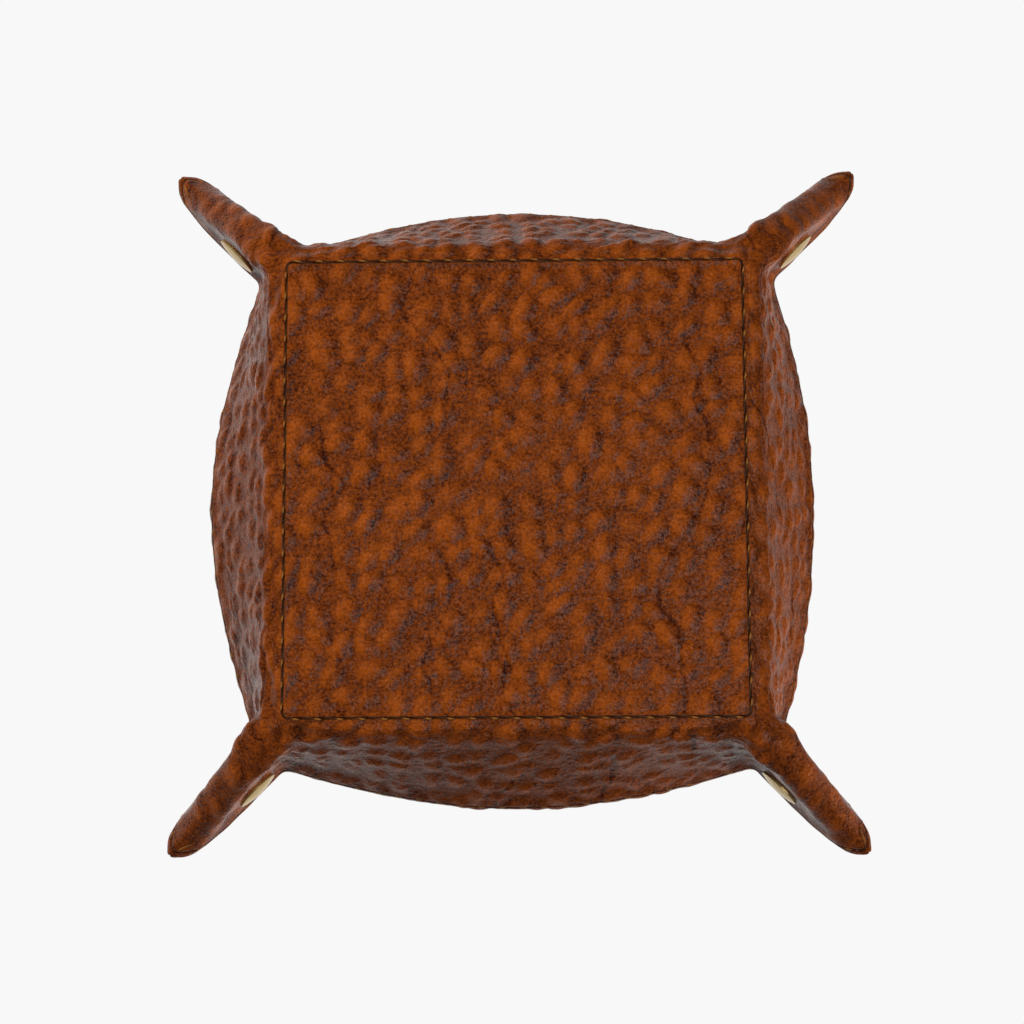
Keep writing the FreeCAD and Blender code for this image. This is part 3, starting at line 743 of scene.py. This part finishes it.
def stitch_lines(u, v, height, outward, rise):
    """Centre lines in place for the stitches on one face, with the direction away from that face."""
    lift = stitch_lift(outward, rise)
    order, ring, along = wall_frame(u[:, STITCH_RINGS // 2], v[:, STITCH_RINGS // 2])
    lines = np.zeros((*u.shape, 3))
    away = np.zeros((len(u), 3))
    for wall in range(len(WALLS)):
        mine = order == wall
        out = np.choose(wall, [u[mine], v[mine], -u[mine], -v[mine]]) - FIELD
        run = np.choose(wall, [v[mine], -u[mine], -v[mine], u[mine]])
        lines[mine] = layer(wall, out, run, lambda a, b: height(a, b) + lift)
        normal = bare_face(ring[mine], along[mine])[1]
        away[mine] = quarter_turns(normal, wall) * outward
    return lines, away


def thread_mesh(name, lines, away, finish):
    """Two-ply thread along each line."""
    turn = np.linspace(0, 2 * math.pi, STITCH_SIDES, endpoint=False)
    share = np.linspace(0, 1, STITCH_RINGS)
    tangent = np.gradient(lines, axis=1)
    tangent /= np.linalg.norm(tangent, axis=-1, keepdims=True)
    side = np.cross(tangent, away[:, None])
    side /= np.linalg.norm(side, axis=-1, keepdims=True)
    up = np.cross(side, tangent)
    ply = 1 + PLY_DEPTH * np.cos(2 * (turn[None] - PLY_TURNS * 2 * math.pi * share[:, None]))
    radius = THREAD / 2 * ply
    points = (lines[:, :, None] + side[:, :, None] * (radius * np.cos(turn))[None, :, :, None]
              + up[:, :, None] * (radius * np.sin(turn))[None, :, :, None])
    index = np.arange(points.size // 3).reshape(points.shape[:3])
    ahead = np.roll(index, -1, axis=2)
    quads = np.stack([index[:, :-1], index[:, 1:], ahead[:, 1:], ahead[:, :-1]], axis=-1).reshape(-1, 4)
    ends = [*index[:, 0].tolist(), *index[:, -1, ::-1].tolist()]
    mesh = bpy.data.meshes.new(name)
    mesh.from_pydata((points.reshape(-1, 3) * MM).tolist(), [], quads.tolist() + ends)
    mesh.polygons.foreach_set("use_smooth", [True] * len(mesh.polygons))
    mesh.materials.append(finish)
    # share of each stitch that stands up out of its groove; the thread finish paints it light there and
    # dark where sunk: painted highlight and painted shade
    raised = np.broadcast_to(groove(share - RISE_PLACE, RISE_WIDTH)[None, :, None], index.shape)
    raised = raised.astype(np.float32).ravel()
    mesh.attributes.new("raised", "FLOAT", "POINT").data.foreach_set("value", raised)
    piece = bpy.data.objects.new(name, mesh)
    bpy.context.scene.collection.objects.link(piece)
    return piece


def base_seam(finish):
    u, v = seam_stitches(SEAM_HALF, SEAM_CORNER)
    faces = (("stitches_base_under", hide_height, 1, "base_seam_thread"),
             ("stitches_base_inside", lining_height, -1, "base_seam_bobbin_thread"))
    for name, height, outward, node in faces:
        lines, away = stitch_lines(u, v, height, outward, STITCH_RISE)
        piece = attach(thread_mesh(name, lines, away, finish), "base")
        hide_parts(node)


def rim_seam(finish):
    u, v = seam_stitches(CUT_HALF - RIM_SEAM, TIP_RADIUS - RIM_SEAM)
    order, ring, along = wall_frame(u[:, STITCH_RINGS // 2], v[:, STITCH_RINGS // 2])
    outer, outer_away = stitch_lines(u, v, hide_height, 1, RIM_STITCH_RISE)
    inner, inner_away = stitch_lines(u, v, lining_height, -1, RIM_STITCH_RISE)
    in_wall = np.abs(along) < crease_run(ring)
    for wall in range(len(WALLS)):
        groups = [(f"stitches_wall_{WALLS[wall]}", f"{WALLS[wall]}_wall", f"{WALLS[wall]}_rim_thread",
                   (order == wall) & in_wall)]
        for side in (1, -1):
            name, corner, body = ear_names(wall, side)
            chosen = (order == wall) & ~in_wall & (along * side > 0)
            groups.append((f"stitches_ear_{corner}_{name}", body, f"{body}_thread", chosen))
        for name, body, node, chosen in groups:
            lines = np.concatenate([outer[chosen], inner[chosen]])
            away = np.concatenate([outer_away[chosen], inner_away[chosen]])
            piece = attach(thread_mesh(name, lines, away, finish), body)
            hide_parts(node)


# finishes

def colour(red, green, blue):
    """Linear colour from the 0 to 255 values that a picture shows."""
    def linear(value):
        share = value / 255
        return share / 12.92 if share <= 0.04045 else ((share + 0.055) / 1.055) ** 2.4
    return (linear(red), linear(green), linear(blue), 1.0)


class Wire:
    """A node's output in a finish. Arithmetic on it adds Math nodes."""

    def __init__(self, finish, socket):
        self.finish = finish
        self.socket = socket

    def maths(self, operation, first, second):
        return self.finish.node("Math", settings={"operation": operation}, Value=first, Value_001=second)

    def __add__(self, other):
        return self.maths("ADD", self, other)

    def __radd__(self, other):
        return self.maths("ADD", other, self)

    def __sub__(self, other):
        return self.maths("SUBTRACT", self, other)

    def __rsub__(self, other):
        return self.maths("SUBTRACT", other, self)

    def __mul__(self, other):
        return self.maths("MULTIPLY", self, other)

    def __rmul__(self, other):
        return self.maths("MULTIPLY", other, self)

    def __pow__(self, other):
        return self.maths("POWER", self, other)


class Finish:
    """A material in the making. node() adds any node: first its settings, then its sockets."""

    def __init__(self, tree):
        self.tree = tree
        tree.nodes.clear()

    def node(self, kind, output=0, settings=None, **sockets):
        made = self.tree.nodes.new("ShaderNode" + kind)
        for name, value in (settings or {}).items():
            setattr(made, name, value)
        for name, value in sockets.items():
            words = name.replace("_", " ")
            socket = next(item for item in made.inputs if name == item.identifier or words == item.name)
            if isinstance(value, Wire):
                self.tree.links.new(value.socket, socket)
            else:
                socket.default_value = value
        return Wire(self, made.outputs[output]) if made.outputs else None

    def blend(self, share, low, high):
        """Colour between two others."""
        return self.node("Mix", output=2, settings={"data_type": "RGBA"},
                         Factor_Float=share, A_Color=low, B_Color=high)

    def noise(self, place, scale, detail=3.0, roughness=0.55):
        return self.node("TexNoise", Vector=place, Scale=scale, Detail=detail, Roughness=roughness)

    def cracks(self, place, scale):
        """Distance to the nearest line of a net of fine cracks."""
        return self.node("TexVoronoi", settings={"feature": "DISTANCE_TO_EDGE"}, Vector=place, Scale=scale)

    def ramp(self, value, low, high):
        """Value stretched so that low becomes 0 and high becomes 1."""
        return self.node("MapRange", settings={"clamp": True}, Value=value, From_Min=low, From_Max=high)

    def bump(self, height, distance, strength=1.0):
        return self.node("Bump", Strength=strength, Distance=distance, Height=height)

    def surface(self, **sockets):
        shader = self.node("BsdfPrincipled", **sockets)
        self.node("OutputMaterial", Surface=shader)


def new_material(name):
    material = bpy.data.materials.new(name)
    material.use_nodes = True
    return material, Finish(material.node_tree)


def hide_finish():
    """Pebbled full-grain hide, waxed and finely wrinkled: warm on the pebbles and darker in the valleys,
    which is painted light and shade, with random tone over it.
    """
    material, finish = new_material("pebbled_hide")
    place = finish.node("Attribute", output=1, settings={"attribute_name": "cut_place"})
    # grain holds painted light and shade from the pebble relief and the long creases
    grain = finish.node("Attribute", output=2, settings={"attribute_name": "grain"})
    seam_shade = finish.node("Attribute", output=2, settings={"attribute_name": "seam_shade"})
    cloud = finish.noise(place, 45.0, 3.0)
    mottle = finish.noise(place, 450.0, 4.0, 0.7)
    fleck = finish.noise(place, 1250.0, 3.0, 0.8)
    wrinkle = finish.cracks(place, 1300.0)
    # valley to top carries painted shade and painted light as well as random tone; the third colour is
    # painted shade in the seams' grooves
    valley, top, groove_shade_colour = colour(58, 19, 6), colour(164, 78, 15), colour(38, 19, 10)
    warmth = finish.ramp(grain * 0.95 + cloud * 0.4 + mottle * 0.8 + fleck * 2.0, 1.58, 2.44)
    base = finish.blend(seam_shade, finish.blend(warmth, valley, top), groove_shade_colour)
    height = finish.ramp(wrinkle, 0.0, 0.3) * 0.3 + finish.noise(place, 900.0, 1.0) * 1.2
    finish.surface(
        Base_Color=base,
        Roughness=finish.ramp(mottle * 0.6 + fleck * 0.4, 0.25, 0.75) * 0.16 + 0.2,
        Normal=finish.bump(height, 0.00018, 1.0),
        Specular_IOR_Level=0.35,
    )
    return material


def lining_finish():
    """Smooth lining leather with a fine even grain."""
    material, finish = new_material("lining_leather")
    place = finish.node("Attribute", output=1, settings={"attribute_name": "cut_place"})
    cloud = finish.noise(place, 45.0, 4.0)
    mottle = finish.noise(place, 700.0, 4.0, 0.65)
    grain = finish.cracks(place, 1100.0)
    deep, pale = colour(98, 56, 34), colour(140, 86, 54)
    base = finish.blend(finish.ramp(cloud * 0.7 + mottle * 0.5, 0.3, 0.9), deep, pale)
    finish.surface(
        Base_Color=base,
        Roughness=finish.ramp(mottle, 0.2, 0.8) * 0.2 + 0.5,
        Normal=finish.bump(finish.ramp(grain, 0.0, 0.3) + mottle * 0.5, 0.00006, 0.8),
    )
    return material


def edge_finish():
    """Cut edge, stained dark and burnished."""
    material, finish = new_material("stained_edge")
    place = finish.node("NewGeometry", output=0)
    fibre = finish.noise(place, 1600.0, 4.0, 0.7)
    base = finish.blend(finish.ramp(fibre, 0.3, 0.75), colour(38, 22, 16), colour(78, 46, 30))
    finish.surface(
        Base_Color=base,
        Roughness=fibre * 0.3 + 0.4,
        Normal=finish.bump(fibre, 0.0001, 0.7),
    )
    return material


def thread_finish():
    """Waxed brown thread, with painted shade where it lies sunk in its groove and a painted golden tan
    highlight where it stands up out of it.
    """
    material, finish = new_material("waxed_thread")
    place = finish.node("NewGeometry", output=0)
    raised = finish.node("Attribute", output=2, settings={"attribute_name": "raised"})
    fibre = finish.noise(place, 2200.0, 3.0, 0.7)
    painted_shade_and_highlight = finish.blend(raised, colour(54, 32, 18), colour(186, 118, 40))
    base = finish.blend(finish.ramp(fibre, 0.3, 0.7) * 0.5, painted_shade_and_highlight, colour(96, 60, 28))
    finish.surface(
        Base_Color=base,
        Roughness=fibre * 0.25 + 0.38,
        Normal=finish.bump(fibre, 0.00008, 0.8),
    )
    return material


def brass_finish():
    """Polished brass with faint handling marks."""
    material, finish = new_material("polished_brass")
    place = finish.node("NewGeometry", output=0)
    haze = finish.noise(place, 260.0, 4.0, 0.6)
    scratch = finish.noise(place, 3000.0, 2.0, 0.6)
    base = finish.blend(finish.ramp(haze, 0.3, 0.75), colour(206, 168, 96), colour(232, 204, 142))
    finish.surface(
        Base_Color=base,
        Metallic=0.6,
        Roughness=finish.ramp(haze * 0.6 + scratch * 0.4, 0.3, 0.8) * 0.16 + 0.2,
        Normal=finish.bump(scratch, 0.00002, 0.4),
    )
    return material


def board_finish():
    """Grey bookbinding board with flecks."""
    material, finish = new_material("grey_board")
    place = finish.node("NewGeometry", output=0)
    fleck = finish.noise(place, 900.0, 4.0, 0.7)
    base = finish.blend(finish.ramp(fleck, 0.35, 0.65), colour(132, 124, 110), colour(170, 160, 144))
    finish.surface(Base_Color=base, Roughness=fleck * 0.1 + 0.8, Normal=finish.bump(fleck, 0.0001, 0.5))
    return material


# stage

def pale_world():
    """White light from all round, and a pale backdrop to the camera, to metal and through glass.

    In a reflection the backdrop is brightest overhead toward the southwest, and dim below the tray.
    """
    world = bpy.data.worlds.new("pale_room")
    bpy.context.scene.world = world
    world.use_nodes = True
    room = Finish(world.node_tree)
    to_camera, to_metal, through = (room.node("LightPath", output=index) for index in (0, 3, 6))
    seen = room.ramp(to_camera + to_metal + through, 0.0, 1.0)
    light = room.node("Background", Color=(1.0, 1.0, 1.0, 1.0), Strength=ROOM_LIGHT)
    way = room.node("VectorMath", output=1, settings={"operation": "DOT_PRODUCT"},
                    Vector=room.node("TexCoord", output=0), Vector_001=BRIGHT_WAY)
    lit = room.ramp(way, *DIM_RANGE) ** DIM_POWER
    tone = room.blend(room.ramp(lit + to_camera, 0.0, 1.0), DIM_END, BACKDROP)
    backdrop = room.node("Background", Color=tone, Strength=1.0)
    room.node("OutputWorld", Surface=room.node("MixShader", Fac=seen, Shader=light, Shader_001=backdrop))


def floor():
    """Pale floor that keeps the tray's shadow from above and is open to a view from below."""
    span = FLOOR_SPAN
    mesh = bpy.data.meshes.new("floor")
    corners = [(-span, -span, 0), (span, -span, 0), (span, span, 0), (-span, span, 0)]
    mesh.from_pydata(corners, [], [(0, 1, 2, 3)])
    piece = bpy.data.objects.new("floor", mesh)
    bpy.context.scene.collection.objects.link(piece)
    material, finish = new_material("pale_floor")
    under = finish.node("NewGeometry", output=6)
    tone = finish.blend(finish.noise(finish.node("NewGeometry", output=0), 3.0), *FLOOR_TONES)
    face = finish.node("BsdfPrincipled", Base_Color=tone, Roughness=0.9, Specular_IOR_Level=0.0,
                       Emission_Color=(1.0, 1.0, 1.0, 1.0), Emission_Strength=FLOOR_GLOW)
    clear = finish.node("BsdfTransparent")
    shown = finish.node("MixShader", Fac=under, Shader=face, Shader_001=clear)
    finish.node("OutputMaterial", Surface=shown)
    mesh.materials.append(material)
    piece.visible_diffuse = False
    piece.visible_glossy = False
    piece.visible_shadow = False
    piece.visible_transmission = False


def softbox(name, place, size, power, mirrored):
    lamp = bpy.data.lights.new(name, "AREA")
    lamp.shape = "DISK"
    lamp.size = size
    lamp.energy = power
    holder = bpy.data.objects.new(name, lamp)
    holder.location = place
    holder.visible_glossy = mirrored
    holder.rotation_mode = "QUATERNION"
    holder.rotation_quaternion = (LIGHT_AIM - Vector(place)).to_track_quat("-Z", "Y")
    bpy.context.scene.collection.objects.link(holder)


def camera():
    """View from below, a little to the north, with the picture's top toward the south wall."""
    lens = bpy.data.cameras.new("photograph_view")
    lens.sensor_width = SENSOR
    lens.lens = SENSOR / 2 / math.tan(math.radians(VIEW_ANGLE) / 2)
    back = -Vector(VIEW_LINE).normalized()
    down = Vector(PICTURE_DOWN)
    up = (-down - back * (-down).dot(back)).normalized()
    right = up.cross(back)
    turn = Matrix((right, up, back)).transposed().to_4x4()
    eye = bpy.data.objects.new("photograph_view", lens)
    eye.matrix_world = Matrix.Translation(Vector(VIEW_FROM) * MM) @ turn
    lens.clip_start, lens.clip_end = NEAREST, FARTHEST
    bpy.context.scene.collection.objects.link(eye)
    bpy.context.scene.camera = eye


def clear_defaults():
    for name in ("Cube", "Light", "Camera"):
        if name in bpy.data.objects:
            bpy.data.objects.remove(bpy.data.objects[name])


def dress_tray():
    hide, lining, edge = hide_finish(), lining_finish(), edge_finish()
    thread, brass, board = thread_finish(), brass_finish(), board_finish()
    sheets = (("hide", "leather", (hide, edge), 1), ("lining", "lining", (lining, edge), LINING_SHARE))
    for kind, layer_name, finishes, coarse in sheets:
        piece = base_panel(kind, BASE_CELLS // coarse, finishes)
        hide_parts(f"base_{layer_name}")
        for order, wall in enumerate(WALLS):
            piece = wall_panel(kind, order, ROWS // coarse, WALL_CELLS // coarse, finishes)
            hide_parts(f"{wall}_wall_{layer_name}")
            for side in (1, -1):
                body = ear_names(order, side)[2]
                piece = ear_panel(kind, order, side, ROWS // coarse, LEAF_CELLS // coarse, finishes)
                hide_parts(f"{body}_{layer_name}")
    base_seam(thread)
    rim_seam(thread)
    for name, node in frame["nodes"].items():
        if "_snap_" in name:
            node.data.materials.clear()
            node.data.materials.append(brass)
    node = frame["nodes"]["base_board"]
    node.data.materials.clear()
    node.data.materials.append(board)


clear_defaults()
dress_tray()
pale_world()
floor()
for box in SOFTBOXES:
    softbox(*box)
camera()
bpy.context.scene.view_settings.view_transform = "Standard"
